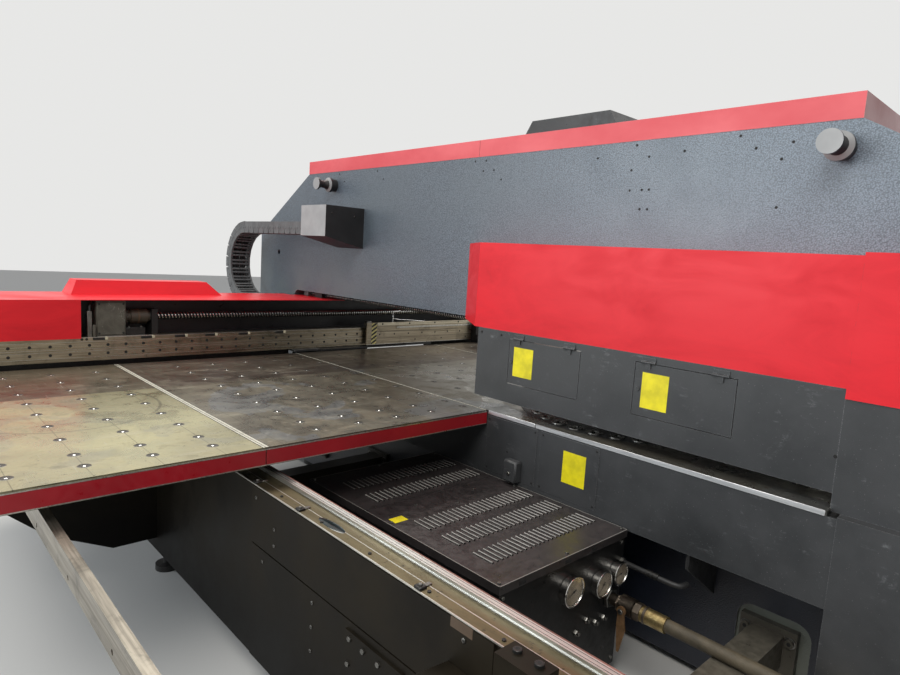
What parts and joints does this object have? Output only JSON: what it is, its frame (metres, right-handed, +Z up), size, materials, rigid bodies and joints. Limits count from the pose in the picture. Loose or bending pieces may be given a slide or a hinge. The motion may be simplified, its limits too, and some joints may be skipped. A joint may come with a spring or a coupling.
{
  "type": "cnc turret punch press",
  "caption": "Turret punch press: closed bridge frame with covered turrets, centre and side ball tables, and a sheet carriage that travels along and across the machine.",
  "frame": {"origin": "on the floor, midway between the two side plates of the bridge frame and midway along its length", "axes": "+X across the machine, the way the sheet carriage runs; +Y along the bridge from the turret end to the carriage's home end; +Z up"},
  "size_m": [5.24, 5.178, 2.375],
  "materials": {
    "frame_paint": "dark blue-grey hammered paint, dusty",
    "faded_red": "red paint, faded and dusty",
    "red_paint": "gloss red paint with handling marks",
    "charcoal_paint": "satin charcoal paint with scuffs",
    "dark_paint": "dark semi-gloss paint with oily dust",
    "motor_paint": "grey motor enamel",
    "worn_steel": "machined steel, stained and scratched",
    "bright_steel": "ground steel, oiled",
    "dark_steel": "dark oiled steel",
    "cast_parts": "machined cast iron, oiled",
    "ball_steel": "polished steel balls in plated cups",
    "gauge_chrome": "chromed cases",
    "brass": "dull brass, oily",
    "grey_plastic": "matt grey plastic",
    "hose_rubber": "dusty rubber hose"
  },
  "bodies": {
    "machine": {"bridge_frame": "frame_paint", "frame_caps": "faded_red", "top_hood": "dark_paint", "lifting_trunnions": "dark_steel", "turret_cover_left": "red_paint", "turret_cover_right": "red_paint", "access_cover_left": "charcoal_paint", "access_cover_right": "charcoal_paint", "end_cover": "red_paint", "end_cabinet": "charcoal_paint", "centre_table": "worn_steel", "table_frame": "dark_paint", "centre_balls": "ball_steel", "skirts": "charcoal_paint", "guide_beams": "dark_paint", "guide_rails": "bright_steel", "guide_panels": "dark_paint", "outer_rails": "dark_steel", "cross_beams": "frame_paint", "levelling_feet": "dark_steel", "hydraulic_tank": "dark_paint", "hydraulic_lid": "dark_paint", "pump_motor": "motor_paint", "pressure_gauges": "gauge_chrome", "ball_valve": "brass", "hydraulic_hose": "hose_rubber", "y_screw_drive": "cast_parts", "ram_cylinder": "cast_parts", "turret_bearings": "cast_parts", "turret_gearmotor": "motor_paint", "turret_chains": "dark_steel", "die_anvil": "cast_parts", "chain_box": "grey_plastic", "cable_chain": "grey_plastic"},
    "upper_turret": {"upper_turret": "cast_parts", "punches": "bright_steel"},
    "lower_turret": {"lower_turret": "cast_parts", "dies": "bright_steel"},
    "drive_shaft": {"drive_shaft": "bright_steel"},
    "striker": {"striker": "bright_steel"},
    "door_left_front": {"door_left_front": "charcoal_paint"},
    "door_left_rear": {"door_left_rear": "charcoal_paint"},
    "door_right_front": {"door_right_front": "charcoal_paint"},
    "door_right_rear": {"door_right_rear": "charcoal_paint"},
    "valve_lever": {"valve_lever": "dark_steel"},
    "y_screw": {"y_ball_screw": "bright_steel"},
    "y_carriage": {"carriage_base": "dark_paint", "carriage_covers": "red_paint", "x_guide_bar": "worn_steel", "x_servo_drive": "motor_paint", "side_table_left": "worn_steel", "side_table_right": "worn_steel", "table_trims": "red_paint", "side_balls": "ball_steel", "guide_saddles": "dark_steel"},
    "x_screw": {"x_ball_screw": "bright_steel"},
    "x_carriage": {"sheet_carriage": "worn_steel", "clamp_bodies": "dark_steel"},
    "clamp_jaw_left": {"clamp_jaw_left": "dark_steel"},
    "clamp_jaw_right": {"clamp_jaw_right": "dark_steel"}
  },
  "joints": [
    {"name": "y_axis", "type": "slide", "parent": "machine", "child": "y_carriage", "axis": [0, 1, 0], "range_m": [-1.525, 0], "deforming": ["cable_chain"]},
    {"name": "x_axis", "type": "slide", "parent": "y_carriage", "child": "x_carriage", "axis": [1, 0, 0], "range_m": [-2.5, 0]},
    {"name": "y_screw_turn", "type": "hinge", "parent": "machine", "child": "y_screw", "pos_m": [-0.27, 0, 1.324], "axis": [0, 1, 0], "continuous": true},
    {"name": "x_screw_turn", "type": "hinge", "parent": "y_carriage", "child": "x_screw", "pos_m": [0, 1.6, 1.196], "axis": [1, 0, 0], "continuous": true},
    {"name": "upper_turret_turn", "type": "hinge", "parent": "machine", "child": "upper_turret", "pos_m": [0, -0.84, 1.06], "axis": [0, 0, 1], "continuous": true},
    {"name": "lower_turret_turn", "type": "hinge", "parent": "machine", "child": "lower_turret", "pos_m": [0, -0.84, 0.88], "axis": [0, 0, 1], "continuous": true},
    {"name": "drive_shaft_turn", "type": "hinge", "parent": "machine", "child": "drive_shaft", "pos_m": [0, -1.65, 0.95], "axis": [0, 0, 1], "continuous": true},
    {"name": "ram", "type": "slide", "parent": "machine", "child": "striker", "axis": [0, 0, -1], "range_m": [0, 0.037]},
    {"name": "door_left_front_hinge", "type": "hinge", "parent": "machine", "child": "door_left_front", "pos_m": [-0.5935, -0.693, 1.301], "axis": [0, 1, 0], "range_deg": [0, 100]},
    {"name": "door_left_rear_hinge", "type": "hinge", "parent": "machine", "child": "door_left_rear", "pos_m": [-0.5935, -1.363, 1.301], "axis": [0, 1, 0], "range_deg": [0, 100]},
    {"name": "door_right_front_hinge", "type": "hinge", "parent": "machine", "child": "door_right_front", "pos_m": [0.5935, -0.693, 1.301], "axis": [0, -1, 0], "range_deg": [0, 100]},
    {"name": "door_right_rear_hinge", "type": "hinge", "parent": "machine", "child": "door_right_rear", "pos_m": [0.5935, -1.363, 1.301], "axis": [0, -1, 0], "range_deg": [0, 100]},
    {"name": "valve_lever_turn", "type": "hinge", "parent": "machine", "child": "valve_lever", "pos_m": [-0.77, -1.31, 0.371], "axis": [-1, 0, 0], "range_deg": [0, 90]},
    {"name": "clamp_jaw_left_hinge", "type": "hinge", "parent": "x_carriage", "child": "clamp_jaw_left", "pos_m": [1.15, 1.386, 0.985], "axis": [-1, 0, 0], "range_deg": [0, 12]},
    {"name": "clamp_jaw_right_hinge", "type": "hinge", "parent": "x_carriage", "child": "clamp_jaw_right", "pos_m": [2.05, 1.386, 0.985], "axis": [-1, 0, 0], "range_deg": [0, 12]}
  ],
  "couplings": [
    {"joint": "y_screw_turn", "follows": "y_axis", "rad_per_m": 157.08},
    {"joint": "x_screw_turn", "follows": "x_axis", "rad_per_m": 157.08},
    {"joint": "lower_turret_turn", "follows": "upper_turret_turn", "ratio": 1},
    {"joint": "drive_shaft_turn", "follows": "upper_turret_turn", "ratio": 2.3636}
  ]
}
